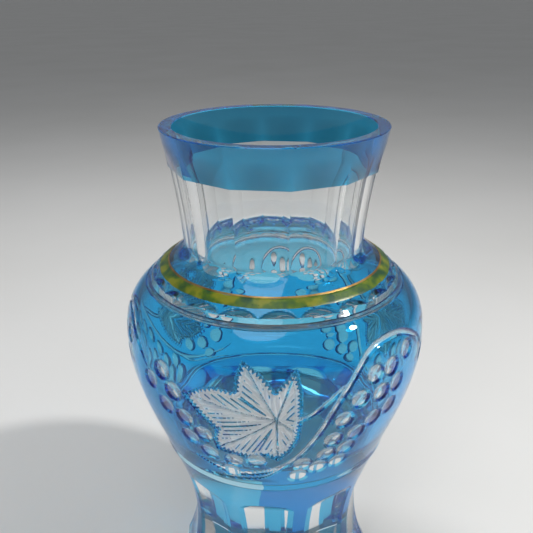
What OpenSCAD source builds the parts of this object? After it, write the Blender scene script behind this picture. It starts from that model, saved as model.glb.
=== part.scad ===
// Cased crystal vase: clear lead crystal under a thin blue skin, cut through the skin to
// the clear glass in wide panels, lens-shaped grapes, vine leaves and stems.
// Millimetres, +Z up. The origin is the centre of the flat underside of the foot.

/* [Overall form] */
// Height from the table to the lip
height = 280; // [272:1:292]
// Outer radius of the lip
lip_radius = 60; // [58:0.5:62]
// Outer radius where the neck meets the shoulder
neck_radius = 50.5; // [49:0.5:52]
// Height of the neck's foot
neck_height = 214; // [212:1:216]
// Largest outer radius of the belly
belly_radius = 84; // [82:0.5:86]
// Height of the widest part of the belly
belly_height = 165; // [163:1:167]
// Outer radius of the pale ring under the belly
ring_radius = 67; // [66:0.5:68]
// Height of the top edge of the pale ring
ring_height = 102; // [101:0.5:103]
// Outer radius of the waist above the foot
waist_radius = 51.6; // [50.5:0.1:53]
// Height of the waist
waist_height = 42; // [40:1:44]
// Outer radius of the underside
foot_radius = 60.5; // [58:0.5:62]

/* [Wall] */
// Thickness of the blue skin
skin = 0.8; // [0.7:0.05:0.9]
// Width of the ground lip
lip_width = 6.7; // [6:0.1:7.5]
// Inner radius of the neck's foot
bore_radius = 44.3; // [43:0.1:45]
// Thickness of the belly's wall
wall = 6.5; // [6:0.1:7]
// Height of the floor of the cavity
floor_height = 111; // [109:1:112]

/* [Cut panels] */
// Number of flat panels round the neck
neck_panels = 12; // [10:1:14]
// Height of the lower edge of the blue lip band
band_height = 259; // [257:0.5:261]
// Height at which the neck's sides fade out on the lip band
band_fade = 273; // [270:0.5:275]
// Number of tall panels round the foot
foot_panels = 9; // [8:1:10]
// Width of one foot panel, as an angle seen from the axis
foot_panel_angle = 32; // [28:1:34]
// Height of the round top of a foot panel
foot_panel_top = 81; // [78:1:84]

/* [Shoulder] */
// Number of scallops round the edge of the shoulder
scallops = 22; // [20:1:24]
// Height of the lower edge of the shoulder skin
shoulder_edge = 200.3; // [200:0.1:200.6]
// Inner radius of the stained band
band_inner = 58.2; // [57.5:0.1:59]
// Outer radius of the stained band
band_outer = 63.6; // [63:0.1:64]

/* [Motif] */
// Number of times the vine motif goes round the belly
motifs = 3; // [2:1:3]
// Diameter of one grape cut
grape_size = 9.4; // [8.5:0.1:9.6]
// Depth of one grape cut, from the blue surface
grape_depth = 1.8; // [1.5:0.1:2]
// Width of the main stem groove
stem_width = 3.2; // [2.8:0.1:3.6]

/* [Hidden] */
$fn = 120;
big = 200;
step = 8;

// Heights where one part of the outline hands over to the next.
groove_low = 195.8;
ring_low = 98;
foot_edge = 1.2;

// How much smaller the pale ring's radius is at its lower edge.
ring_taper = 0.8;
// How far a neck panel's corners stay inside the outline.
corner_gap = 0.05;
// Thickness of the stain and width of its gold line.
stain = 0.2;
gold_width = 0.9;

// A cubic curve of radius against height between two rings, each [height, radius, slope].
function blend(a, b, n) = [for (i = [0 : n])
    let (t = i / n, h = b[0] - a[0])
    [(2*t^3 - 3*t^2 + 1) * a[1] + (t^3 - 2*t^2 + t) * h * a[2]
     + (3*t^2 - 2*t^3) * b[1] + (t^3 - t^2) * h * b[2],
     a[0] + t * h]];

// The outer rings of the vase, as [height, radius, slope].
foot_ring = [0, foot_radius, -0.45];
waist_ring_point = [waist_height, waist_radius, 0];
cove_ring = [ring_low, ring_radius - ring_taper, 0.45];
pale_ring = [ring_height, ring_radius, 0.38];
belly_ring = [belly_height, belly_radius, 0];
groove_ring = [groove_low, 71.8, -1.2];
edge_ring = [shoulder_edge, 68, -1.1];
neck_ring = [neck_height, neck_radius, -0.9];
neck_start = [neck_height, neck_radius, 0.05];
lip_ring = [height, lip_radius, 0.2];

foot_curve = concat(blend(foot_ring, waist_ring_point, step),
    tail(blend(waist_ring_point, cove_ring, step)));
foot_skin_curve = concat([[radius_at(foot_curve, foot_edge), foot_edge]],
    above(foot_curve, foot_edge));
belly_curve = concat(blend(pale_ring, belly_ring, step), tail(blend(belly_ring, groove_ring, step)));
shoulder_curve = blend(edge_ring, neck_ring, step);
neck_curve = blend(neck_start, lip_ring, step);

// The clear ring between shoulder and belly: a bead, then two fine grooves, bottom first.
bead_ring = [[71.0, groove_low], [70.2, 196.3], [70.4, 196.9], [69.0, 197.3], [69.2, 198.4],
    [67.6, shoulder_edge - 0.4]];

// The cavity: a flat floor that turns up into an even wall, then the throat and the mouth.
floor_rise = 6;
floor_turn = 80;
floor_power = 3.4;
throat_low = 206;
wall_inside = inside_of(concat(belly_curve, shoulder_curve), wall);
floor_reach = radius_at(wall_inside, floor_height + floor_rise) / sin(floor_turn);
floor_curve = [for (i = [0 : step])
    let (a = i * floor_turn / step, share = (1 - cos(a)) / (1 - cos(floor_turn)))
    [floor_reach * sin(a), floor_height + floor_rise * share^floor_power]];
wall_curve = below(above(wall_inside, floor_height + floor_rise), throat_low);
throat_ring = [throat_low, radius_at(wall_inside, throat_low), -1];
throat_start = [neck_height + 3, bore_radius, 0.05];
mouth_ring = [height, lip_radius - lip_width, 0.2];
cavity_curve = concat(floor_curve, wall_curve, blend(throat_ring, throat_start, step),
    tail(blend(throat_start, mouth_ring, step)));

// Angles are measured from the front of the vase towards its right-hand side.
neck_phase = -7;
foot_phase = -5;
scallop_phase = 1.6;
leaf_angle = 0;
stem_angle = 17;
stalk_angle = 15;

// A scallop is cut by a sphere that sits square to the shoulder, its middle below the edge.
scallop_sphere = 30;
scallop_drop = 8.4;
scallop_depth = 2.1;
scallop_tilt = 45;

// Stems and veins, with their depths under the blue skin.
cut_start = 20;
stalk_width = 1.8;
stem_depth = 0.7;
vein_depth = 0.6;
vein_width = 2;
vein_overrun = 2;

// Grapes right and left of the leaf, each [angle, height].
right_grapes = [[36, 171], [44, 171], [30, 159.5], [39.5, 158.5], [48, 159.5], [24.5, 149], [46, 146],
    [38, 143], [21.5, 136.5], [31, 137], [20, 125.5], [28.5, 127], [11, 120.5], [18, 116], [27, 117],
    [10, 110.5], [53.5, 175]];
left_grapes = [[-42, 170], [-37, 160.5], [-49, 160.5], [-33.5, 146], [-42, 149], [-26.5, 138],
    [-33.5, 132.5], [-26, 124.5], [-16, 122], [-7, 124], [-18.5, 112]];

// The main stem runs under the leaf and up its right side; the leaf stalk joins it.
main_stem = [[-35, 118], [-26, 113], [-15, 111.5], [-5, 114], [4, 120.5], [10.5, 130.5], [16, 144.5],
    [20, 157], [25.5, 169.5], [32, 181], [40, 185.5], [52, 184.5], [62.5, 176.5], [69, 167]];
leaf_stalk = [[7, 153.5], [12, 156], [20, 165], [25, 170]];

// Half of a vine leaf's outline hangs on each lobe: [across, height], tip and notch in turn.
leaf_outline = [[1.7, 125], [8, 132], [12, 141], [13.5, 154], [13.3, 170], [10.5, 182], [5, 176],
    [0.5, 171], [-6, 179], [-15.2, 185], [-18.5, 177], [-19.5, 169], [-29, 170.5], [-37, 167.5],
    [-45.3, 161.5], [-38, 153], [-29, 144], [-31, 137], [-29, 129.5], [-19, 127], [-11, 126], [-5, 129]];
leaf_heart = [1, 153];
leaf_tips = [[-10.5, 181], [-30, 161.5], [-20, 131], [1.5, 128], [7, 178], [8, 146]];

function tail(points) = [for (i = [1 : len(points) - 1]) points[i]];
function reversed(points) = [for (i = [len(points) - 1 : -1 : 0]) points[i]];
function inset(points, depth) = [for (p = points) [p[0] - depth, p[1]]];
function above(points, z) = [for (p = points) if (p[1] > z + 0.01) p];
function below(points, z) = [for (p = points) if (p[1] < z - 0.01) p];

// Points at an even depth inside an outline, square to it; its two end points are left out.
function inside_of(points, depth) = [for (i = [1 : len(points) - 2])
    let (run = points[i + 1] - points[i - 1])
    points[i] + depth * [-run[1], run[0]] / norm(run)];

// Radius of a curve at a height, by straight lines between its points.
function radius_at(points, z) = lookup(z, [for (p = points) [p[1], p[0]]]);

// A path of [angle, height] points on the belly, drawn flat as seen from one angle.
function flat_path(path, angle) =
    [for (p = path) [radius_at(belly_curve, p[1]) * sin(p[0] - angle), p[1]]];

// One edge of a ribbon that follows a path and comes to a point at both ends.
function ribbon_edge(path, half) =
    [for (i = [1 : len(path) - 2])
        let (run = path[i + 1] - path[i - 1])
        path[i] + half * [-run[1], run[0]] / norm(run)];

function ribbon(path, width) =
    concat([path[0]], ribbon_edge(path, width / 2), [path[len(path) - 1]],
        reversed(ribbon_edge(path, -width / 2)));

module at_angle(angle) {
    rotate([0, 0, angle - 90]) children();
}

module around(count, phase) {
    for (i = [0 : count - 1]) at_angle(phase + i * 360 / count) children();
}

// A skin of even depth that follows an outline, bottom point first.
module skin_of(points, depth) {
    rotate_extrude() polygon(concat(points, reversed(inset(points, depth))));
}

// What a wheel takes off one side, between a flat profile and the outside world.
module side_cut(points) {
    low = points[0];
    high = points[len(points) - 1];
    rotate([90, 0, 0])
        linear_extrude(height = big, center = true)
            polygon(concat(points, [[big, high[1]], [big, low[1]]]));
}

// Neck panels: flats whose corners stay on the neck's own outline, under the blue band.
module neck_cuts() {
    low = [radius_at(neck_curve, neck_height), neck_height];
    high = [radius_at(neck_curve, band_height), band_height];
    zone = concat([low], above(below(neck_curve, band_height), neck_height), [high]);
    flat = [for (p = zone) [(p[0] - skin) * cos(180 / neck_panels) - corner_gap, p[1]]];
    around(neck_panels, neck_phase) side_cut(flat);
}

// The blue band is round at the lip and has as many sides as the neck at its lower edge.
module band_cuts(depth) {
    low = radius_at(neck_curve, band_height) * cos(180 / neck_panels) - corner_gap - depth;
    fade = radius_at(neck_curve, band_fade) - depth;
    slope = (fade - low) / (band_fade - band_height);
    overlap = 1;
    overrun = 5;
    around(neck_panels, neck_phase)
        side_cut([[low - slope * overlap, band_height - overlap],
            [fade + slope * overrun, band_fade + overrun]]);
}

// Foot panels: hollow of the waist followed by a flat across, ending in a round top.
// Their heights differ from the rings of the outline, so that no corner falls on a ring.
module foot_cuts() {
    shrink = cos(foot_panel_angle / 2);
    lowest = 3;
    pitch = 8;
    bulge = 0.4;
    zone = [for (z = [lowest : pitch : foot_panel_top - 5]) [radius_at(foot_curve, z) * shrink, z]];
    last = zone[len(zone) - 1];
    top = [radius_at(foot_curve, foot_panel_top), foot_panel_top];
    bend = (last + top) / 2 - [bulge, 0];
    around(foot_panels, foot_phase)
        side_cut(concat([[foot_radius * shrink, -1]], zone, [bend, top + (top - bend) / 2]));
}

// Scallops: shallow hollows along the shoulder's edge, stopped by the clear bead below.
module scallop_cuts() {
    lift = sqrt(scallop_sphere^2 - scallop_drop^2) - scallop_depth;
    reach = 8;
    intersection() {
        around(scallops, scallop_phase)
            translate([edge_ring[1], 0, shoulder_edge])
                rotate([0, scallop_tilt, 0])
                    translate([scallop_drop, 0, lift]) sphere(r = scallop_sphere, $fn = 60);
        translate([0, 0, shoulder_edge]) cylinder(r = groove_ring[1], h = reach);
    }
}

// Grapes: round lens cuts, deepest in the middle.
module grape_cuts() {
    radius = (grape_size^2 / 4 + grape_depth^2) / (2 * grape_depth);
    for (k = [0 : motifs - 1]) {
        for (g = concat(right_grapes, left_grapes)) {
            slope = atan((radius_at(belly_curve, g[1] + 1) - radius_at(belly_curve, g[1] - 1)) / 2);
            at_angle(g[0] + k * 360 / motifs)
                translate([radius_at(belly_curve, g[1]), 0, g[1]])
                    rotate([0, slope, 0])
                        translate([radius - grape_depth, 0, 0]) sphere(r = radius, $fn = 36);
        }
    }
}

// Cuts an outline, drawn flat as seen from one angle, into the side that faces that angle.
module cut_from(angle) {
    for (k = [0 : motifs - 1])
        at_angle(angle + k * 360 / motifs)
            translate([cut_start, 0, 0])
                rotate([90, 0, 90])
                    linear_extrude(height = big) children();
}

module stem_cuts() {
    cut_from(stem_angle) polygon(ribbon(flat_path(main_stem, stem_angle), stem_width));
    cut_from(stalk_angle) polygon(ribbon(flat_path(leaf_stalk, stalk_angle), stalk_width));
}

module leaf_cuts() {
    cut_from(leaf_angle) polygon(leaf_outline);
}

// Main veins: mitre cuts, widest in the middle, that cross at the leaf's heart.
module vein_cuts() {
    for (tip = leaf_tips) {
        start = leaf_heart - vein_overrun * (tip - leaf_heart) / norm(tip - leaf_heart);
        cut_from(leaf_angle) polygon(ribbon([start, (leaf_heart + tip) / 2, tip], vein_width));
    }
}

// Keeps only what a cut takes out of the clear glass, down to a depth under the blue skin.
module shallow(depth) {
    core = inset(belly_curve, skin + depth);
    difference() {
        children();
        rotate_extrude() polygon(concat([[0, core[0][1] - 1], core[0] - [0, 1]], core,
            [core[len(core) - 1] + [0, 1], [0, groove_low + 1]]));
    }
}

module crystal_body() {
    outside = concat([[0, 0], [foot_radius - 2 * skin, 0]], inset(foot_skin_curve, skin),
        inset(belly_curve, skin), bead_ring, inset(shoulder_curve, skin), inset(tail(neck_curve), skin));
    color([0.86, 0.9, 0.92, 0.6])
        difference() {
            rotate_extrude() polygon(concat(outside, reversed(cavity_curve)));
            neck_cuts();
            band_cuts(skin);
            foot_cuts();
            scallop_cuts();
            grape_cuts();
            shallow(stem_depth) stem_cuts();
            shallow(vein_depth) vein_cuts();
        }
}

// The skin is cut from a thicker ring, because the band's sides lie inside its outline.
module rim_casing() {
    ring_depth = skin * 3;
    low = [radius_at(neck_curve, band_height), band_height];
    curve = concat([low], above(neck_curve, band_height));
    color([0.2, 0.5, 0.68])
        difference() {
            skin_of(curve, ring_depth);
            band_cuts(0);
            difference() {
                rotate_extrude() polygon(concat([[0, band_height - 1], low - [skin, 1]], inset(curve, skin),
                    [[lip_radius - skin, height + 1], [0, height + 1]]));
                band_cuts(skin);
            }
        }
}

module shoulder_casing() {
    color([0.15, 0.55, 0.78])
        difference() {
            skin_of(shoulder_curve, skin);
            neck_cuts();
            scallop_cuts();
        }
}

// One part of the shoulder's outline between two radii, outermost first.
function shoulder_between(inner, outer) =
    let (by_radius = reversed(shoulder_curve))
    concat([[outer, lookup(outer, by_radius)]],
        [for (p = shoulder_curve) if (p[0] > inner + 0.1 && p[0] < outer - 0.1) p],
        [[inner, lookup(inner, by_radius)]]);

module stain_of(inner, outer) {
    outline = shoulder_between(inner, outer);
    lifted = [for (p = outline) [p[0], p[1] + stain]];
    rotate_extrude() polygon(concat(outline, reversed(lifted)));
}

module gilt_band() {
    color([0.42, 0.5, 0.12]) stain_of(band_inner + gold_width, band_outer);
}

module gilt_line() {
    color([0.75, 0.58, 0.32]) stain_of(band_inner, band_inner + gold_width);
}

module belly_casing() {
    color([0.08, 0.52, 0.76])
        difference() {
            skin_of(belly_curve, skin);
            grape_cuts();
            stem_cuts();
            leaf_cuts();
        }
}

module waist_ring() {
    low = [ring_radius - ring_taper, ring_low];
    color([0.5, 0.72, 0.82])
        rotate_extrude()
            polygon([low, [ring_radius, ring_height], [ring_radius - skin, ring_height], low - [skin, 0]]);
}

module foot_casing() {
    color([0.1, 0.4, 0.72])
        difference() {
            skin_of(foot_skin_curve, skin);
            foot_cuts();
        }
}

crystal_body();
rim_casing();
shoulder_casing();
gilt_band();
gilt_line();
belly_casing();
waist_ring();
foot_casing();
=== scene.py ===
"""Cut crystal vase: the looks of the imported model.

The clear body and every blue casing are closed meshes made from one grid. The grid's columns
are angles round the axis and its rows are heights, and both are bent to follow the edges of the
cuts. At each point the outer surface is the vase's outline, less the deepest cut there. Where
more than the blue skin has gone, the clear body shows. Lengths down to the materials are
millimetres, and angles are degrees from the front (-Y) towards +X. Meshes, materials and the
stage are in metres.
"""

import bpy
import numpy as np
from mathutils import Matrix


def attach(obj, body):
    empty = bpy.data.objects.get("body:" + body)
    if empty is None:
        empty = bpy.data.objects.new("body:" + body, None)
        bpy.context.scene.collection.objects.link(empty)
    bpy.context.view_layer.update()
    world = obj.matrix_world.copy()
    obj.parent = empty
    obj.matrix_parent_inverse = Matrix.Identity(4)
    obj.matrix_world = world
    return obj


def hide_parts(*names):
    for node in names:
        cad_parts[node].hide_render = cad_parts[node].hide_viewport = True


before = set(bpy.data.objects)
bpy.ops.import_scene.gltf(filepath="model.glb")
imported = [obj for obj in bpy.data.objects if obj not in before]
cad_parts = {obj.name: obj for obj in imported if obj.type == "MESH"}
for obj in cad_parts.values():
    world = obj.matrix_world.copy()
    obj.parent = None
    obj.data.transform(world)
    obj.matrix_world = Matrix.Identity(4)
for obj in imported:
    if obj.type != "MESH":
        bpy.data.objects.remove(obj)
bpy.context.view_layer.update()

MM = 0.001

# ---------------------------------------------------------------- the vase's outline
# Rings of the outline, as (height, radius, slope of radius against height).
FOOT = (0, 60.5, -0.45)
WAIST = (42, 51.6, 0)
COVE = (98, 66.2, 0.45)
PALE = (102, 67, 0.38)
BELLY = (165, 84, 0)
GROOVE = (195.8, 71.8, -1.2)
EDGE = (200.3, 68, -1.1)
NECK = (214, 50.5, -0.9)
NECK_START = (214, 50.5, 0.05)
LIP = (280, 60, 0.2)
SPANS = [
    (FOOT, WAIST),
    (WAIST, COVE),
    (COVE, PALE),
    (PALE, BELLY),
    (BELLY, GROOVE),
    (EDGE, NECK),
    (NECK_START, LIP),
]
# The clear bead and its two grooves between belly and shoulder.
BEAD_HEIGHTS = [195.82, 196.3, 196.9, 197.3, 198.4, 199.9, 200.28]
BEAD_RADII = [71.0, 70.2, 70.4, 69.0, 69.2, 67.6, 67.2]
GROOVES_FROM, GROOVES_TO = BEAD_HEIGHTS[0], BEAD_HEIGHTS[4]

SKIN = 0.8  # thickness of the blue skin
SEAM = 0.01  # space between the skin and the body, so that their faces never meet
STEP = 0.02  # height over which a skin's edge drops to the clear glass
LEAST_SKIN = 1e-6  # a thinner skin counts as none
FOOT_BOTTOM, FOOT_TOP = 1.2, 97.6  # where the foot's skin starts and ends
BELLY_BOTTOM = 102.4  # where the belly's skin starts
SHOULDER_TOP = 217  # where the shoulder's skin ends
LIP_HEIGHT = LIP[0]
LIP_WIDTH = 6.7
BEVEL = 0.4

NECK_PANELS, NECK_PHASE = 12, -7
NECK_PANEL_END = 205  # the neck panels stop above this height
NECK_CLEARANCE = 0.05  # how much deeper than the skin the corners between neck panels are
FLARE_TOP, FLARE = 216, 0.22  # where a neck panel starts to run out on the shoulder, and how fast
BAND_HEIGHT, BAND_FADE = 259, 273  # lower edge of the rim's skin, and where its flat sides end
BAND_EASE = 1.5  # power by which the flat sides fade into the round lip
FOOT_PANELS, FOOT_PHASE, FOOT_PANEL_ANGLE = 9, -5, 32
FOOT_PANEL_STRAIGHT, FOOT_PANEL_TOP = 75, 81  # where a window's round top starts and ends
FOOT_PANEL_SAG = 0.4  # how far the round top is hollowed
SCALLOPS, SCALLOP_PHASE = 22, 1.6
SCALLOP_RADIUS = 30  # of the ball that cuts a scallop
SCALLOP_DROP = 8.8  # from the shoulder's edge to the ball's middle, down along the shoulder's slope
SCALLOP_DEPTH = 2.4  # how deep the ball cuts at the shoulder's edge
SCALLOP_TILT = np.sqrt(0.5)  # the slope there is 45 degrees
SCALLOP_TOP = 208  # no scallop reaches above this height
MOTIFS = 3
MOTIF_ANGLE = 360 / MOTIFS

# What a point of the clear body is, as the index of its material, and the same for a skin.
CLEAR, JOINT, GROUND, LENS, SHADED_GROOVE = range(5)
OUTSIDE, INSIDE = range(2)


def blend(low, high, z):
    """Radius at heights z on the cubic between two rings."""
    rise = high[0] - low[0]
    t = (z - low[0]) / rise
    return (
        (2 * t**3 - 3 * t**2 + 1) * low[1]
        + (t**3 - 2 * t**2 + t) * rise * low[2]
        + (3 * t**2 - 2 * t**3) * high[1]
        + (t**3 - t**2) * rise * high[2]
    )


def outline(z):
    """Outer radius of the vase at heights z, before any cut."""
    z = np.asarray(z, float)
    radius = np.interp(z, BEAD_HEIGHTS, BEAD_RADII)
    for low, high in SPANS:
        within = (z >= low[0]) & (z <= high[0])
        radius = np.where(within, blend(low, high, z), radius)
    return radius


def slope_at(z):
    """Slope of the outline's radius against height."""
    return (outline(z + 1) - outline(z - 1)) / 2


def apart(angle, centre, pitch):
    """Angle from the nearest of a set of repeats, which are a pitch apart."""
    return (angle - centre + pitch / 2) % pitch - pitch / 2


# ---------------------------------------------------------------- the grid
def spaced(low, high, pitch):
    """Even heights from low to high, about a pitch apart."""
    return np.linspace(low, high, max(2, round((high - low) / pitch) + 1))


# Rows are close together where there are fine cuts.
FOOT_ROWS = [spaced(FOOT_BOTTOM, 70, 2.3), spaced(70.8, 84, 0.6), spaced(85, FOOT_TOP, 2.1)]
BELLY_ROWS = [
    spaced(BELLY_BOTTOM + STEP, 124, 0.8),
    spaced(124.6, 187, 0.5),
    spaced(187.8, GROOVE[0], 0.8),
]
RIM_ROWS = [spaced(BAND_HEIGHT, 274, 0.75), spaced(275, LIP_HEIGHT - BEVEL, 1.2)]
# Each zone is the skin on it or none, its rows, and how far they lie under the outline.
ZONES = [
    ("", [0], 2 * SKIN),
    ("", [FOOT_BOTTOM - STEP], SKIN),
    ("foot_skin", np.concatenate(FOOT_ROWS), 0),
    ("", [FOOT_TOP + STEP, COVE[0]], SKIN),
    ("ring_skin", spaced(COVE[0] + STEP, PALE[0] - STEP, 1), 0),
    ("", [PALE[0], BELLY_BOTTOM], SKIN),
    ("belly_skin", np.concatenate(BELLY_ROWS), 0),
    ("", BEAD_HEIGHTS, 0),
    ("shoulder_skin", spaced(EDGE[0], SHOULDER_TOP, 0.5), 0),
    ("", spaced(SHOULDER_TOP + 0.5, BAND_HEIGHT - STEP, 4), 0),
    ("rim_skin", np.concatenate(RIM_ROWS), 0),
    ("rim_skin", [LIP_HEIGHT], BEVEL),
    ("", [LIP_HEIGHT], SKIN),
]
heights = np.concatenate([rows for _, rows, _ in ZONES])
row_piece = np.concatenate([[piece] * len(rows) for piece, rows, _ in ZONES])
row_sunk = np.concatenate([np.full(len(rows), sunk) for _, rows, sunk in ZONES])

# Columns are a quarter of a degree apart where a leaf is, and half a degree apart elsewhere.
LEAF_FROM, LEAF_TO = -35, 13
quarters = np.arange(-180, 180, 0.25)
from_leaf = np.abs(apart(quarters, (LEAF_FROM + LEAF_TO) / 2, MOTIF_ANGLE))
in_leaf = from_leaf <= (LEAF_TO - LEAF_FROM) / 2
columns = quarters[in_leaf | (quarters * 2 % 1 == 0)]

Z = heights[:, None] + 0 * columns[None, :]
ANGLE = columns[None, :] + 0 * Z
PLAIN = outline(Z)

# ---------------------------------------------------------------- cuts
INNER_FLAT = np.cos(np.radians(180 / NECK_PANELS))


def flat(apothem, delta):
    """Radius of a flat side at an angle from its middle."""
    return apothem / np.cos(np.radians(delta))


def neck_panels():
    """Flat neck sides that run out on the shoulder in a curve, and the sides of the blue band."""
    delta = apart(ANGLE, NECK_PHASE, 360 / NECK_PANELS)
    corner = outline(np.clip(Z, FLARE_TOP, BAND_HEIGHT)) - SKIN
    run_out = FLARE * np.clip(FLARE_TOP - Z, 0, None) ** 2
    side = flat(corner * INNER_FLAT - NECK_CLEARANCE + run_out, delta)
    neck = np.where((Z > NECK_PANEL_END) & (Z < BAND_HEIGHT), side, np.inf)
    share = np.clip((BAND_FADE - Z) / (BAND_FADE - BAND_HEIGHT), 0, 1) ** BAND_EASE
    band_side = flat(outline(np.clip(Z, BAND_HEIGHT, LIP_HEIGHT)) * INNER_FLAT, delta)
    band = np.where(Z >= BAND_HEIGHT, PLAIN + (band_side - PLAIN) * share, np.inf)
    return np.minimum(neck, band)


def foot_panels():
    """Tall flat windows with round tops."""
    delta = apart(ANGLE, FOOT_PHASE, 360 / FOOT_PANELS)
    shrink = np.cos(np.radians(FOOT_PANEL_ANGLE / 2))
    edge = np.array([outline(FOOT_PANEL_STRAIGHT) * shrink, FOOT_PANEL_STRAIGHT])
    top = np.array([outline(FOOT_PANEL_TOP), FOOT_PANEL_TOP])
    bend = (edge + top) / 2 - [FOOT_PANEL_SAG, 0]
    out = top + (top - bend) / 2
    radii, levels = np.transpose([edge, bend, out])
    round_top = np.interp(Z, levels, radii)
    apothem = np.where(Z < FOOT_PANEL_STRAIGHT, outline(Z) * shrink, round_top)
    return np.where(Z < out[1], flat(apothem, delta), np.inf)


def ball(delta, z, centre_radius, centre_height, radius):
    """Radius at which a line from the axis enters a ball, or infinity where it misses."""
    aside = centre_radius * np.sin(np.radians(delta))
    reach = radius**2 - (z - centre_height) ** 2 - aside**2
    entry = centre_radius * np.cos(np.radians(delta)) - np.sqrt(np.clip(reach, 0, None))
    return np.where(reach > 0, entry, np.inf)


def scallops():
    """Shallow hollows along the shoulder's edge, stopped by the clear bead."""
    delta = apart(ANGLE, SCALLOP_PHASE, 360 / SCALLOPS)
    lift = np.sqrt(SCALLOP_RADIUS**2 - SCALLOP_DROP**2) - SCALLOP_DEPTH
    centre_radius = EDGE[1] + (SCALLOP_DROP + lift) * SCALLOP_TILT
    centre_height = EDGE[0] + (lift - SCALLOP_DROP) * SCALLOP_TILT
    hollow = ball(delta, Z, centre_radius, centre_height, SCALLOP_RADIUS)
    return np.where((Z >= EDGE[0]) & (Z < SCALLOP_TOP), hollow, np.inf)


GRAPE_SIZE, GRAPE_DEPTH = 11.9, 2
# Grapes right and left of the leaf, each (angle, height).
GRAPES = [
    (36, 171), (44, 171), (30, 159.5), (39.5, 158.5), (48, 159.5), (24.5, 149), (46, 146),
    (38, 143), (21.5, 136.5), (31, 137), (20, 125.5), (28.5, 127), (11, 120.5), (18, 116),
    (27, 117), (10, 110.5), (53.5, 175),
    (-42, 170), (-37, 160.5), (-49, 160.5), (-33.5, 146), (-42, 149), (-26.5, 138),
    (-33.5, 132.5), (-26, 124.5), (-16, 122), (-7, 124), (-18.5, 112),
]


def grapes():
    """Round lens cuts, deepest in the middle, square to the surface."""
    radius = (GRAPE_SIZE**2 / 4 + GRAPE_DEPTH**2) / (2 * GRAPE_DEPTH)
    off = radius - GRAPE_DEPTH
    result = np.full(PLAIN.shape, np.inf)
    for angle, z in GRAPES:
        lean = np.arctan(slope_at(z))
        centre = outline(z) + off * np.cos(lean), z - off * np.sin(lean)
        rows = np.abs(heights - z) < GRAPE_SIZE
        delta = apart(ANGLE[rows], angle, MOTIF_ANGLE)
        result[rows] = np.minimum(result[rows], ball(delta, Z[rows], *centre, radius))
    return result


# Stems are smooth curves through (angle, height) points.
MAIN_STEM = [
    (-35, 118), (-26, 113), (-15, 111.5), (-5, 114), (4, 120.5), (10.5, 130.5), (16, 144.5),
    (20, 157), (25.5, 169.5), (32, 181), (40, 185.5), (52, 184.5), (62.5, 176.5), (69, 167),
]
LEAF_STALK = [(7, 153.5), (12, 156), (20, 165), (25, 170)]
TENDRIL = [(-33.4, 104), (-15, 107), (-4, 110.6), (4, 119.5)]
# Each with its width and depth.
STEMS = [(MAIN_STEM, 3.8, 1.35), (LEAF_STALK, 2.8, 1.25), (TENDRIL, 2.2, 1.15)]
STEM_REACH = 8  # rows farther than this from a part of a path are left out
TAPERS = 8  # how many of a groove's tapers would fill its length
TAPER_END = 0.05  # square of the share of width and depth that a groove's ends have


def smooth_path(points, parts=6):
    """A smooth curve through points, as a Catmull-Rom spline."""
    knots = np.array([points[0], *points, points[-1]], float)
    t = np.linspace(0, 1, parts, endpoint=False)[:, None]
    pieces = []
    for a, b, c, d in zip(knots, knots[1:], knots[2:], knots[3:]):
        square = (2 * a - 5 * b + 4 * c - d) * t**2
        cube = (3 * b - a - 3 * c + d) * t**3
        pieces.append(0.5 * (2 * b + (c - a) * t + square + cube))
    return np.vstack([*pieces, knots[-1:]])


def distance_to(path):
    """Distance on the surface from each grid point to a path of (angle, height) points, and how far
    along the path its nearest point is, from 0 to 1."""
    near = np.full(PLAIN.shape, np.inf)
    along = np.zeros(PLAIN.shape)
    for k, (a, b) in enumerate(zip(path, path[1:])):
        middle = (a + b) / 2
        across = np.radians(outline(middle[1]))
        steep = np.hypot(1, slope_at(middle[1]))
        rows = np.abs(heights - middle[1]) < STEM_REACH
        x = apart(ANGLE[rows], middle[0], MOTIF_ANGLE) * across
        y = (Z[rows] - middle[1]) * steep
        half = np.array([(b[0] - a[0]) * across, (b[1] - a[1]) * steep]) / 2
        t = np.clip((x * half[0] + y * half[1]) / (half @ half), -1, 1)
        far = np.hypot(x - t * half[0], y - t * half[1])
        closer = far < near[rows]
        near[rows] = np.where(closer, far, near[rows])
        along[rows] = np.where(closer, (k + (t + 1) / 2) / (len(path) - 1), along[rows])
    return near, along


def groove(points, width, depth):
    """A round groove that follows a path and tapers at both ends."""
    near, along = distance_to(smooth_path(points))
    taper = np.clip(np.minimum(along, 1 - along) * TAPERS, TAPER_END, 1) ** 0.5
    section = 1 - (near / (width / 2 * taper)) ** 2
    return np.where(section > 0, PLAIN - depth * taper * section, np.inf)


def stems():
    """The three smooth stem grooves."""
    return np.minimum.reduce([groove(*stem) for stem in STEMS])


# ---------------------------------------------------------------- the leaf
# The leaf is drawn flat as seen from its own angle: (across, height), tip and notch in turn.
LEAF_OUTLINE = [
    (1.7, 125), (8, 132), (12, 141), (13.5, 154), (13.3, 170), (10.5, 182), (5, 176), (0.5, 171),
    (-6, 179), (-15.2, 185), (-18.5, 177), (-19.5, 169), (-29, 170.5), (-37, 167.5), (-45.3, 161.5),
    (-38, 153), (-29, 144), (-31, 137), (-29, 129.5), (-19, 127), (-11, 126), (-5, 129),
]
LEAF_HEART = np.array([1.0, 153.0])
LEAF_TIPS = [(-14.5, 183), (-43, 161.5), (-28, 130.5), (1.5, 127), (10, 180), (12, 143)]
LEAF_REACH = 45  # the leaf is within this angle of its own
BRANCH_ANGLE = 24  # between a vein and the mitre cuts on both sides of it
MITRE_PITCH = 6.6  # along the vein
MITRE_DEPTH, RIDGE_DEPTH = 1.9, 0.25
RIDGE_SINK, SINK_WIDTH = 0.7, 3  # how much deeper a ridge is at its vein, and within what distance
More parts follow.
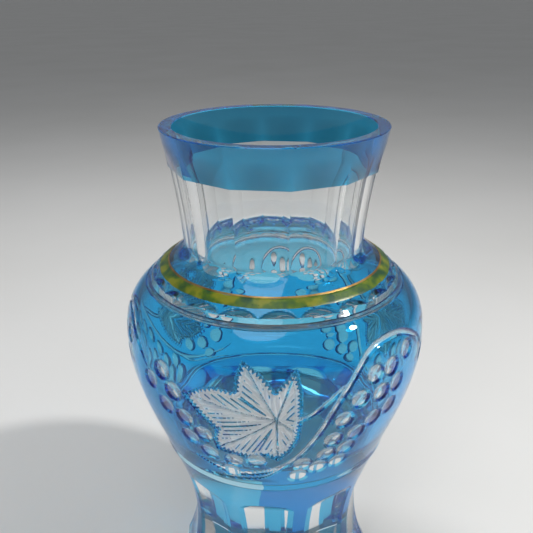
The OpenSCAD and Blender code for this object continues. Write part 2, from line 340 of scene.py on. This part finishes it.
VEIN_DEPTH, VEIN_SLOPE = 3, 2  # depth along the middle of a vein, and how fast its sides rise
VEIN_LINE = 0.42  # half the width of a vein, which is polished, not ground
PAST_TIP = 0.3  # a vein counts as this much farther away for each millimetre past its tip
FRINGE_WIDTH, FRINGE_PITCH = 3.2, 2.3  # the fine hatching round the leaf's edge
FRINGE_RIDGE, FRINGE_CUT = 0.5, 1.7  # depth of its ridges, and how much deeper its cuts are
FRINGE_LEAST = 0.4  # share of those depths at the leaf's edge
LINE_DEPTH, LINE_SLOPE = 2.1, 2.2  # the fine line between the fringe and the mitre cuts


def inside(points, x, y):
    """True where (x, y) is inside a closed outline."""
    result = np.zeros(np.broadcast(x, y).shape, bool)
    for (ax, ay), (bx, by) in zip(points, [*points[1:], points[0]]):
        crosses = (ay > y) != (by > y)
        result ^= crosses & (x < ax + (y - ay) * (bx - ax) / (by - ay))
    return result


def to_edge(points, x, y):
    """Distance to a closed outline, and how far round the outline the nearest point is."""
    near = np.full(np.broadcast(x, y).shape, np.inf)
    along = np.zeros(near.shape)
    passed = 0.0
    for start, end in zip(points, [*points[1:], points[0]]):
        run = np.subtract(end, start)
        length = np.hypot(*run)
        t = np.clip(((x - start[0]) * run[0] + (y - start[1]) * run[1]) / length**2, 0, 1)
        far = np.hypot(x - start[0] - t * run[0], y - start[1] - t * run[1])
        along = np.where(far < near, passed + t * length, along)
        near = np.minimum(near, far)
        passed += length
    return near, along


def ridged(value, pitch):
    """From 0 at a ridge to 1 in the middle of a cut, for cuts a pitch apart."""
    return 1 - 2 * np.abs(value / pitch % 1 - 0.5)


def mitres(across, height):
    """Depth of V-shaped cuts that fan out from each vein, with a thin ridge of blue between them,
    and of the deeper cut along each vein. The second result is the distance from the nearest vein."""
    nearest = np.full(across.shape, np.inf)
    depth = np.zeros(across.shape)
    slant = 1 / np.tan(np.radians(BRANCH_ANGLE))
    x, y = across - LEAF_HEART[0], height - LEAF_HEART[1]
    for tip in LEAF_TIPS:
        run = np.array(tip) - LEAF_HEART
        length = np.hypot(*run)
        run = run / length
        out = x * run[0] + y * run[1]
        off = np.abs(y * run[0] - x * run[1])
        far = np.where(out > 0, off, np.hypot(x, y)) + PAST_TIP * np.clip(out - length, 0, None)
        ridge = RIDGE_DEPTH + RIDGE_SINK * np.exp(-(off / SINK_WIDTH) ** 2)
        cut = ridge + (MITRE_DEPTH - ridge) * ridged(out - off * slant, MITRE_PITCH)
        vein = VEIN_DEPTH - VEIN_SLOPE * off
        depth = np.where(far < nearest, np.maximum(cut, vein), depth)
        nearest = np.minimum(nearest, far)
    return depth, nearest


def leaf():
    """Where the leaf is ground, and its radius: mitre cuts inside a fine line, and a hatched fringe
    outside it."""
    delta = apart(ANGLE, 0, MOTIF_ANGLE)
    across = PLAIN * np.sin(np.radians(delta))
    area = inside(LEAF_OUTLINE, across, Z) & (np.abs(delta) < LEAF_REACH)
    edge, along = to_edge(LEAF_OUTLINE, across, Z)
    fade = np.clip(edge / FRINGE_WIDTH, FRINGE_LEAST, 1)
    hatch = fade * (FRINGE_RIDGE + FRINGE_CUT * ridged(along, FRINGE_PITCH))
    line = LINE_DEPTH - LINE_SLOPE * np.abs(edge - FRINGE_WIDTH)
    fans, from_vein = mitres(across, Z)
    depth = np.maximum(np.where(edge < FRINGE_WIDTH, hatch, fans), line)
    return area & (from_vein > VEIN_LINE), np.where(area, PLAIN - depth, np.inf)


# ---------------------------------------------------------------- the cut surface
def all_cuts():
    """The outer surface's radii, and the material that each point's cut lays bare."""
    leaf_area, leaf_radius = leaf()
    hollows = np.minimum(grapes(), stems())
    surface = PLAIN - row_sunk[:, None]
    for cut in (neck_panels(), foot_panels(), scallops(), hollows, leaf_radius):
        surface = np.minimum(surface, cut)
    kind = np.where(leaf_area, GROUND, CLEAR)
    # Within the two grooves the glass is tinted grey. This is painted shade that stands in for the
    # dark shadow seen through the clear grooves.
    kind = np.where((Z >= GROOVES_FROM) & (Z < GROOVES_TO), SHADED_GROOVE, kind)
    return surface, np.where(hollows < PLAIN - SKIN, LENS, kind)


def neighbours(values, step, axis):
    """Each point's neighbour along an axis of the grid. The last column is next to the first."""
    return np.roll(values, -step, axis)


def to_skin_edge(left):
    """How far each point moves, in height and angle, to the nearest place on the grid's lines where
    the skin is just cut through, and which points move. left is the skin's thickness, below zero
    where a cut goes through."""
    half_way = 0.5
    nearest = np.full(left.shape, half_way)
    rise, swing = np.zeros(left.shape), np.zeros(left.shape)
    same_up = (row_piece[1:] == row_piece[:-1]) & (row_piece[1:] != "")
    inner_row = np.r_[False, same_up] & np.r_[same_up, False]
    for step, axis in ((1, 0), (-1, 0), (1, 1), (-1, 1)):
        other = neighbours(left, step, axis)
        may_move = inner_row if axis == 0 else row_piece != ""
        share = left / np.where(left == other, 1, left - other)
        hit = (left * other < 0) & (share < nearest) & may_move[:, None]
        nearest = np.where(hit, share, nearest)
        rise = np.where(hit, share * (neighbours(Z, step, axis) - Z), rise)
        swing = np.where(hit, share * apart(neighbours(ANGLE, step, axis), ANGLE, 360), swing)
    return rise, swing, nearest < half_way


def skin_inside(surface):
    """Radius of the side of the skin that is fused to the body."""
    on_rim = row_piece[:, None] == "rim_skin"
    return np.where(on_rim, surface + row_sunk[:, None] - SKIN, PLAIN - SKIN)


def skin_left(surface):
    """Thickness of blue skin at each point, on the rows that have any."""
    return np.where(row_piece[:, None] != "", surface - skin_inside(surface), 0)


# The grid is bent so that its lines follow the edges of every cut through the skin.
rise, swing, on_edge = to_skin_edge(skin_left(all_cuts()[0]))
Z, ANGLE = Z + rise, ANGLE + swing
PLAIN = outline(Z)
surface, point_cut = all_cuts()
fused = skin_inside(surface)
outer = np.where(on_edge, fused, surface)
cased = (skin_left(surface) > LEAST_SKIN) & ~on_edge
cut_through = ~cased & ~on_edge
# Under a skin the clear body follows the outline, and elsewhere it is the outer surface.
under = np.where(cased, fused, outer)
body = under - SEAM * cased

# ---------------------------------------------------------------- meshes
COUNT = len(columns)
DEGREES = np.arange(-180, 180)
RING = len(DEGREES)  # the cavity and the painted layers have a point at each degree
SHARP = 20  # edges that turn by more degrees than this are sharp


def place(radius, z, angle):
    """Points in metres from radii, heights and angles."""
    radius, z, angle = np.broadcast_arrays(radius, z, np.radians(angle))
    points = np.stack([radius * np.sin(angle), -radius * np.cos(angle), z], axis=-1)
    return points.reshape(-1, 3) * MM


def cells(rows, count):
    """Row and column of every cell of a grid with count columns, which closes round the axis."""
    return [index.ravel() for index in np.mgrid[0 : rows - 1, 0:count]]


def quads(row, column, count, start=0):
    """Corner indices of grid cells, seen from outside, for grids with count columns."""
    right = (column + 1) % count
    low, high = start + row * count, start + (row + 1) * count
    return np.stack([low + column, low + right, high + right, high + column], axis=-1)


def at_corners(values, row, column):
    """Values at the four corners of grid cells, anticlockwise as seen from outside."""
    right = (column + 1) % COUNT
    corners = [(row, column), (row, right), (row + 1, right), (row + 1, column)]
    return np.array([values[corner] for corner in corners])


def grid_faces():
    """The grid's faces as (corner indices, whether skin covers it, what cut it, its row). A cell is
    one face, or two triangles where the skin's edge runs from corner to corner."""
    row, column = cells(len(heights), COUNT)
    corners, cut = quads(row, column, COUNT), point_cut[row, column]
    skin = at_corners(cased, row, column)
    bare = at_corners(cut_through, row, column)
    opposite = skin & np.roll(bare, 2, axis=0)
    beside = np.roll(skin, 1, axis=0) | np.roll(skin, -1, axis=0)
    split_at = (opposite | np.roll(opposite, 2, axis=0)) & ~beside
    whole = ~(split_at[0] | split_at[1])
    found = [(corners[whole], skin[:, whole].any(axis=0), cut[whole], row[whole])]
    for first, split in enumerate((split_at[0], split_at[1] & ~split_at[0])):
        for tip in (first, first + 2):
            picked = [(tip - 1) % 4, tip, (tip + 1) % 4]
            covered = skin[picked][:, split].any(axis=0)
            found.append((corners[split][:, picked], covered, cut[split], row[split]))
    return found


def make_piece(name, points, faces, materials, face_material, sharp=SHARP):
    """A new object on the vase's body, smooth but for edges that turn more than the sharp angle."""
    mesh = bpy.data.meshes.new(name)
    mesh.from_pydata(points.tolist(), [], faces)
    for material in materials:
        mesh.materials.append(material)
    mesh.polygons.foreach_set("material_index", np.asarray(face_material, np.int32))
    mesh.polygons.foreach_set("use_smooth", np.ones(len(mesh.polygons), bool))
    mesh.set_sharp_from_angle(angle=np.radians(sharp))
    mesh.validate()
    piece = bpy.data.objects.new(name, mesh)
    bpy.context.scene.collection.objects.link(piece)
    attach(piece, "root")
    return piece


# The cavity has a nearly flat floor that turns up into an even wall, and a straight bore. The bore
# and the mouth are rings like the outline's, and the throat's radius is the even wall's.
FLOOR_HEIGHT, FLOOR_RISE = 111, 6
FLOOR_TURNS = np.radians(np.concatenate([np.linspace(4, 52, 7), np.linspace(56, 80, 17)]))
FLOOR_FLATNESS = 3.4  # power by which the floor turns up late
WALL = 6.5
WALL_CLEARANCE = 0.5  # height between the even wall's rows and the curves next to it
THROAT_HEIGHT, THROAT_SLOPE = 206, -1
BORE = (217, 44.3, 0.05)
MOUTH_BEVEL = 0.1  # how much wider the bevel inside the lip is than the one outside
MOUTH = (LIP_HEIGHT - BEVEL, LIP[1] - LIP_WIDTH - MOUTH_BEVEL, 0.2)


def even_wall():
    """Radii and heights of points at an even depth inside the belly and the shoulder."""
    z = np.concatenate([spaced(PALE[0], GROOVE[0], 1.5), spaced(EDGE[0], NECK[0], 1)])
    run = np.gradient(outline(z)), np.gradient(z)
    length = np.hypot(*run)
    return outline(z) - WALL * run[1] / length, z + WALL * run[0] / length


def cavity_rows():
    """Radii and heights of the cavity's wall, from its floor up to the mouth."""
    wall, level = even_wall()
    floor_top = FLOOR_HEIGHT + FLOOR_RISE
    share = (1 - np.cos(FLOOR_TURNS)) / (1 - np.cos(FLOOR_TURNS[-1]))
    floor = np.interp(floor_top, level, wall) * np.sin(FLOOR_TURNS) / np.sin(FLOOR_TURNS[-1])
    floor_rows = FLOOR_HEIGHT + FLOOR_RISE * share**FLOOR_FLATNESS
    even = (level > floor_top + WALL_CLEARANCE) & (level < THROAT_HEIGHT - WALL_CLEARANCE)
    throat = (THROAT_HEIGHT, np.interp(THROAT_HEIGHT, level, wall), THROAT_SLOPE)
    throat_rows = spaced(THROAT_HEIGHT, BORE[0], 1.2)
    bore_rows = spaced(BORE[0], MOUTH[0], 4)[1:]
    curves = blend(throat, BORE, throat_rows), blend(BORE, MOUTH, bore_rows)
    radii = np.concatenate([floor, wall[even], *curves, [LIP[1] - LIP_WIDTH + BEVEL]])
    return radii, np.concatenate([floor_rows, level[even], throat_rows, bore_rows, [LIP_HEIGHT]])


def cavity_faces(rows, start):
    """Faces of the cavity's wall and of its floor, whose middle is the point after the last row."""
    wall = quads(*cells(rows, RING), RING, start)[:, ::-1].tolist()
    middle = start + rows * RING
    floor = [[start + j, start + (j + 1) % RING, middle] for j in range(RING)]
    return wall + floor


def lip_faces(mouth):
    """One face for each degree, from the grid's last row to the cavity's, which starts at mouth."""
    top = (len(heights) - 1) * COUNT
    whole = [*np.flatnonzero(columns % 1 == 0), COUNT]
    faces = []
    for j in range(RING):
        edge = [top + k % COUNT for k in range(whole[j], whole[j + 1] + 1)]
        faces.append([*edge, mouth + (j + 1) % RING, mouth + j])
    return faces


def make_body(materials):
    """The clear glass, as one closed mesh: outside, lip, cavity and underside."""
    faces, kind = [], []
    for corners, is_covered, cut, _ in grid_faces():
        faces += corners.tolist()
        kind += np.where(is_covered, JOINT, cut).tolist()
    radii, levels = cavity_rows()
    cavity = place(radii[:, None], levels[:, None], DEGREES[None, :])
    points = np.vstack([place(body, Z, ANGLE), cavity, [[0, 0, FLOOR_HEIGHT * MM]]])
    inner_start = len(heights) * COUNT
    mouth = inner_start + (len(radii) - 1) * RING
    underside = list(range(COUNT - 1, -1, -1))
    more = [*cavity_faces(len(radii), inner_start), *lip_faces(mouth), underside]
    kind += [CLEAR] * len(more)
    return make_piece("crystal_glass", points, faces + more, materials, kind)


def make_skin(name, materials):
    """One blue skin, as a closed mesh: its outside, and its inside where it is fused to the body."""
    mine = row_piece == name
    row_is_mine = mine[:-1] | mine[1:]
    size = len(heights) * COUNT
    inner_index = np.where(cased.ravel(), np.arange(size) + size, np.arange(size))
    new_index = np.full(2 * size, -1)
    sides, kind = [], []
    for corners, is_covered, _, row in grid_faces():
        outside = corners[is_covered & row_is_mine[row]]
        for side, material in ((outside, OUTSIDE), (inner_index[outside][:, ::-1], INSIDE)):
            new_index[side] = 0
            sides.append(side)
            kind += [material] * len(side)
    used = np.flatnonzero(new_index == 0)
    new_index[used] = np.arange(len(used))
    points = np.vstack([place(outer, Z, ANGLE), place(under, Z, ANGLE)])[used]
    faces = [face for side in sides for face in new_index[side].tolist()]
    return make_piece(name, points, faces, materials, kind)


# The painted band and its gold line are thin layers on the shoulder.
BAND_INNER, BAND_OUTER, LINE_WIDTH = 58.2, 63.6, 0.9
LAYER_ROWS = 10
LAYER_THICKNESS, LAYER_GAP = 0.2, 0.01
EDGE_THICKNESS, EDGE_SWELL = 0.25, 4  # share of thickness at the edges, and how soon it is full
LAYER_SHARP = 40
# A layer's edge wanders by a slow wave times a fast one, each (waves in the ring, shift).
INNER_WAVES = (7, 1), (23, 0)
OUTER_WAVES = (11, 0), (29, 2)


def shoulder_height(radius):
    """Height of the shoulder at a radius."""
    z = np.linspace(EDGE[0], NECK[0], num=100)
    return np.interp(radius, outline(z)[::-1], z[::-1])


def wander(size, waves):
    """How far a hand-painted edge is off its circle, at each degree."""
    (slow, slow_shift), (fast, fast_shift) = waves
    turn = np.radians(DEGREES[None, :])
    return size * np.sin(slow * turn + slow_shift) * np.cos(fast * turn + fast_shift)


def layer_edge(row):
    """Faces that close a layer's last edge, from a row on its top to the same row on its back."""
    top = row * RING + np.arange(RING)
    after = row * RING + (np.arange(RING) + 1) % RING
    back = LAYER_ROWS * RING
    return np.stack([top, after, back + after, back + top], axis=-1)


def make_layer(name, inner, outer_radius, wobble, material):
    """A thin layer on the shoulder between two radii, with slightly uneven hand-painted edges."""
    share = np.linspace(0, 1, LAYER_ROWS)[:, None]
    start = inner + wander(wobble, INNER_WAVES)
    end = outer_radius + wander(wobble, OUTER_WAVES)
    radius = end + (start - end) * share
    z = shoulder_height(radius)
    crown = LAYER_THICKNESS * np.clip(4 * share * (1 - share) * EDGE_SWELL, EDGE_THICKNESS, 1)
    top = quads(*cells(LAYER_ROWS, RING), RING)
    back = quads(*cells(LAYER_ROWS, RING), RING, LAYER_ROWS * RING)[:, ::-1]
    faces = np.vstack([top, back, layer_edge(0)[:, ::-1], layer_edge(LAYER_ROWS - 1)]).tolist()
    points = np.vstack([place(radius, z + lift, DEGREES[None, :]) for lift in (crown, LAYER_GAP)])
    return make_piece(name, points, faces, [material], np.zeros(len(faces), int), LAYER_SHARP)


# ---------------------------------------------------------------- materials
# Scales are in features per metre, and reliefs in metres.
CRYSTAL_IOR = 1.54
CLOUD_SCALE, RIPPLE_SCALE, RIPPLE_RELIEF = 35, 160, 0.0004
MOTTLE_SCALE, GRAIN_SCALE = 120, 900
GRAIN_STRENGTH, GRAIN_RELIEF = 0.25, 0.0002
SMOOTHER, ROUGHER = 0.1, 0.15  # how far the grain moves a stain's roughness down and up


def new_material(name):
    """An empty material with an output."""
    material = bpy.data.materials.new(name)
    material.use_nodes = True
    nodes = material.node_tree.nodes
    nodes.clear()
    return material, nodes, material.node_tree.links, nodes.new("ShaderNodeOutputMaterial")


def noise(nodes, links, scale, detail=3):
    """The value of a noise texture in object space."""
    where = nodes.new("ShaderNodeTexCoord")
    texture = nodes.new("ShaderNodeTexNoise")
    texture.inputs["Scale"].default_value = scale
    texture.inputs["Detail"].default_value = detail
    links.new(where.outputs["Object"], texture.inputs["Vector"])
    return texture.outputs["Fac"]


def ramp(nodes, links, value, stops):
    """A colour ramp over a value, from (position, colour) stops."""
    node = nodes.new("ShaderNodeValToRGB")
    elements = node.color_ramp.elements
    while len(elements) < len(stops):
        elements.new(0.5)
    for element, (position, colour) in zip(elements, stops):
        element.position = position
        element.color = (*colour, 1)
    links.new(value, node.inputs["Fac"])
    return node.outputs["Color"]


def add_relief(nodes, links, shader, value, strength, distance):
    """Fine relief on a shader, from a value."""
    bump = nodes.new("ShaderNodeBump")
    bump.inputs["Strength"].default_value = strength
    bump.inputs["Distance"].default_value = distance
    links.new(value, bump.inputs["Height"])
    links.new(bump.outputs["Normal"], shader.inputs["Normal"])


def glass(name, light, dark, roughness, ripple, clearness=1):
    """Polished glass whose tint varies between two colours, with faint ripples from the wheel."""
    material, nodes, links, output = new_material(name)
    shader = nodes.new("ShaderNodeBsdfPrincipled")
    shader.inputs["Transmission Weight"].default_value = clearness
    shader.inputs["IOR"].default_value = CRYSTAL_IOR
    tint = ramp(nodes, links, noise(nodes, links, CLOUD_SCALE), [(0.3, light), (0.7, dark)])
    links.new(tint, shader.inputs["Base Color"])
    shader.inputs["Roughness"].default_value = roughness
    ripples = noise(nodes, links, RIPPLE_SCALE, detail=1)
    add_relief(nodes, links, shader, ripples, ripple, RIPPLE_RELIEF)
    links.new(shader.outputs["BSDF"], output.inputs["Surface"])
    return material


def fused_glass(name, tint):
    """The fused joint between skin and body, which bends no light and passes one tint."""
    material, nodes, links, output = new_material(name)
    shader = nodes.new("ShaderNodeBsdfTransparent")
    shader.inputs["Color"].default_value = (*tint, 1)
    links.new(shader.outputs["BSDF"], output.inputs["Surface"])
    return material


def stain(name, stops, metallic, transmission, roughness):
    """A fired stain or gilding: mottled colour, satin gloss and fine grain."""
    material, nodes, links, output = new_material(name)
    shader = nodes.new("ShaderNodeBsdfPrincipled")
    mottle = noise(nodes, links, MOTTLE_SCALE, detail=6)
    links.new(ramp(nodes, links, mottle, stops), shader.inputs["Base Color"])
    shader.inputs["Metallic"].default_value = metallic
    shader.inputs["Transmission Weight"].default_value = transmission
    grain = noise(nodes, links, GRAIN_SCALE, detail=4)
    rough = nodes.new("ShaderNodeMapRange")
    rough.inputs["To Min"].default_value = roughness - SMOOTHER
    rough.inputs["To Max"].default_value = roughness + ROUGHER
    links.new(grain, rough.inputs["Value"])
    links.new(rough.outputs["Result"], shader.inputs["Roughness"])
    add_relief(nodes, links, shader, grain, GRAIN_STRENGTH, GRAIN_RELIEF)
    links.new(shader.outputs["BSDF"], output.inputs["Surface"])
    return material


# One pass through the skin lets this share of red, green and blue through. Half of the tint is on
# the skin's outside and half on its fused inside, so that light turned back inside is tinted too.
SKIN_TINT = np.array([0.14, 0.65, 0.92])
DEEP_TINT = np.array([0.06, 0.52, 0.86])
PALE_TINT = np.array([0.45, 0.78, 0.93])
# A shader's colour is two passes' worth, give or take the skin's unevenness.
LIGHT_PASSES, DARK_PASSES = 1.8, 2.2


def skin_materials(name, tint):
    """Outside and fused inside of a skin of one tint."""
    half = np.sqrt(tint)
    outside = glass(name, half**LIGHT_PASSES, half**DARK_PASSES, roughness=0, ripple=0.03)
    return outside, fused_glass(name + "_fused", half)


WHITE = (1, 1, 1)
# The lightest and the darkest colour of the clear glass and its cuts.
CLEAR_TINTS = WHITE, (0.96, 0.985, 0.99)
GROUND_TINTS = WHITE, (0.96, 0.98, 1)
# The grooves' grey tints are painted shade, not a real smoky glass.
GROOVE_SHADE_TINTS = (0.3, 0.33, 0.36), (0.4, 0.43, 0.46)
LENS_TINTS = (0.99, 1, 1), (0.95, 0.98, 1)
GREEN_STOPS = [(0.38, (0.02, 0.1, 0.035)), (0.5, (0.11, 0.21, 0.012)), (0.62, (0.32, 0.33, 0.015))]
GOLD_STOPS = [(0.3, (0.3, 0.15, 0.04)), (0.7, (0.6, 0.4, 0.14))]

clear = glass("clear_crystal_glass", *CLEAR_TINTS, roughness=0, ripple=0.03)
ground = glass("mitre_cut_glass", *GROUND_TINTS, roughness=0.2, ripple=0.1, clearness=0.3)
groove_shade = glass("grooved_glass_painted_shade", *GROOVE_SHADE_TINTS, roughness=0.12, ripple=0.1, clearness=0.9)
lens = glass("lens_cut_glass", *LENS_TINTS, roughness=0.08, ripple=0.08, clearness=0.78)
joint = fused_glass("fused_joint", WHITE)
blue_skin = skin_materials("blue_casing_glass", SKIN_TINT)
pale_skin = skin_materials("pale_casing_glass", PALE_TINT)
deep_skin = skin_materials("deep_casing_glass", DEEP_TINT)
green = stain("green_gilt_stain", GREEN_STOPS, metallic=0, transmission=0.35, roughness=0.3)
gold = stain("gold_line_gilding", GOLD_STOPS, metallic=0.85, transmission=0, roughness=0.32)

# ---------------------------------------------------------------- pieces
glass_body = make_body([clear, joint, ground, lens, groove_shade])
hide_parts("crystal_body")
for name, node, slot, glasses in (
    ("foot_skin", "foot_casing", "blue_casing", deep_skin),
    ("ring_skin", "waist_ring", "pale_casing", pale_skin),
    ("belly_skin", "belly_casing", "blue_casing", blue_skin),
    ("shoulder_skin", "shoulder_casing", "blue_casing", blue_skin),
    ("rim_skin", "rim_casing", "blue_casing", deep_skin),
):
    piece = make_skin(name, glasses)
    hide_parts(node)
band = make_layer("stained_band", BAND_INNER + LINE_WIDTH, BAND_OUTER, wobble=0.12, material=green)
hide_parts("gilt_band")
line = make_layer("gilded_line", BAND_INNER, BAND_INNER + LINE_WIDTH, wobble=0.04, material=gold)
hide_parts("gilt_line")

# ---------------------------------------------------------------- stage
FLOOR_EXTENT, FLOOR_LEVEL = 40, -0.0002
FLOOR_STOPS = [(0.3, (0.72, 0.72, 0.71)), (0.7, (0.76, 0.76, 0.755))]
ROOM_STOPS = [(0, (0.27, 0.275, 0.28)), (0.4, (0.25, 0.255, 0.26)), (1, (0.18, 0.185, 0.19))]
WARM, COOL = (1, 0.98, 0.95), (0.95, 0.98, 1)
CAMERA_PLACE = (0, -0.354, 0.346)
CAMERA_ANGLES = (0.725, 67.5, -0.33)  # turn, tilt and roll

scene = bpy.context.scene


def make_floor():
    """A plain pale floor, wide enough to reach the top of the view."""
    mesh = bpy.data.meshes.new("floor")
    signs = [(-1, -1), (1, -1), (1, 1), (-1, 1)]
    corners = [(x * FLOOR_EXTENT, y * FLOOR_EXTENT, FLOOR_LEVEL) for x, y in signs]
    mesh.from_pydata(corners, [], [(0, 1, 2, 3)])
    material, nodes, links, output = new_material("pale_floor")
    shader = nodes.new("ShaderNodeBsdfPrincipled")
    colour = ramp(nodes, links, noise(nodes, links, scale=3), FLOOR_STOPS)
    links.new(colour, shader.inputs["Base Color"])
    shader.inputs["Roughness"].default_value = 0.7
    links.new(shader.outputs["BSDF"], output.inputs["Surface"])
    mesh.materials.append(material)
    floor = bpy.data.objects.new("floor", mesh)
    scene.collection.objects.link(floor)


def make_lamp(name, place_at, look_at, size, power, colour, seen=True):
    """A soft round lamp turned towards a point, which may stay unseen in and through the glass."""
    lamp = bpy.data.lights.new(name, "AREA")
    lamp.shape = "DISK"
    lamp.size = size
    lamp.energy = power
    lamp.color = colour
    lamp_object = bpy.data.objects.new(name, lamp)
    start, target = np.array(place_at), np.array(look_at)
    away = (start - target) / np.linalg.norm(start - target)
    side = np.cross([0, 0, 1], away)
    side /= np.linalg.norm(side)
    up = np.cross(away, side)
    rows = [(side[k], up[k], away[k], start[k]) for k in range(3)]
    lamp_object.matrix_world = Matrix([*rows, (0, 0, 0, 1)])
    lamp_object.visible_glossy = seen
    lamp_object.visible_transmission = seen
    scene.collection.objects.link(lamp_object)


def make_world():
    """A plain room, pale at the horizon and darker overhead."""
    world = bpy.data.worlds.new("room")
    world.use_nodes = True
    nodes, links = world.node_tree.nodes, world.node_tree.links
    where = nodes.new("ShaderNodeTexCoord")
    split = nodes.new("ShaderNodeSeparateXYZ")
    links.new(where.outputs["Generated"], split.inputs["Vector"])
    colour = ramp(nodes, links, split.outputs["Z"], ROOM_STOPS)
    links.new(colour, nodes["Background"].inputs["Color"])
    scene.world = world


def make_camera():
    """The camera at the photograph's viewing angle."""
    data = bpy.data.cameras.new("camera")
    data.lens = 45.93
    data.sensor_width = 36
    camera = bpy.data.objects.new("camera", data)
    turn, tilt, roll = [np.radians(angle) for angle in CAMERA_ANGLES]
    camera.matrix_world = (
        Matrix.Translation(CAMERA_PLACE)
        @ Matrix.Rotation(turn, 4, "Z")
        @ Matrix.Rotation(tilt, 4, "X")
        @ Matrix.Rotation(roll, 4, "Z")
    )
    scene.collection.objects.link(camera)
    scene.camera = camera


make_floor()
make_lamp("key", (0.75, -0.15, 0.95), (0, -0.05, 0.1), size=0.09, power=8.6, colour=WARM)
make_lamp("back", (-0.35, 0.45, 1.0), (0, 0.1, 0), size=0.3, power=3.6, colour=WHITE, seen=False)
make_lamp("front", (-0.5, -0.9, 0.6), (0, 0, 0.15), size=0.4, power=1.7, colour=WHITE, seen=False)
make_lamp("overhead", (-0.2, -0.45, 1.6), (0, -0.1, 0.2), size=0.8, power=3.2, colour=COOL)
make_world()
make_camera()

scene.view_settings.view_transform = "Standard"
# Light crosses many layers of glass on its way through the vase.
scene.cycles.max_bounces = 40
scene.cycles.transmission_bounces = 32
scene.cycles.glossy_bounces = 24
scene.cycles.transparent_max_bounces = 64
scene.cycles.caustics_refractive = True
scene.cycles.caustics_reflective = True
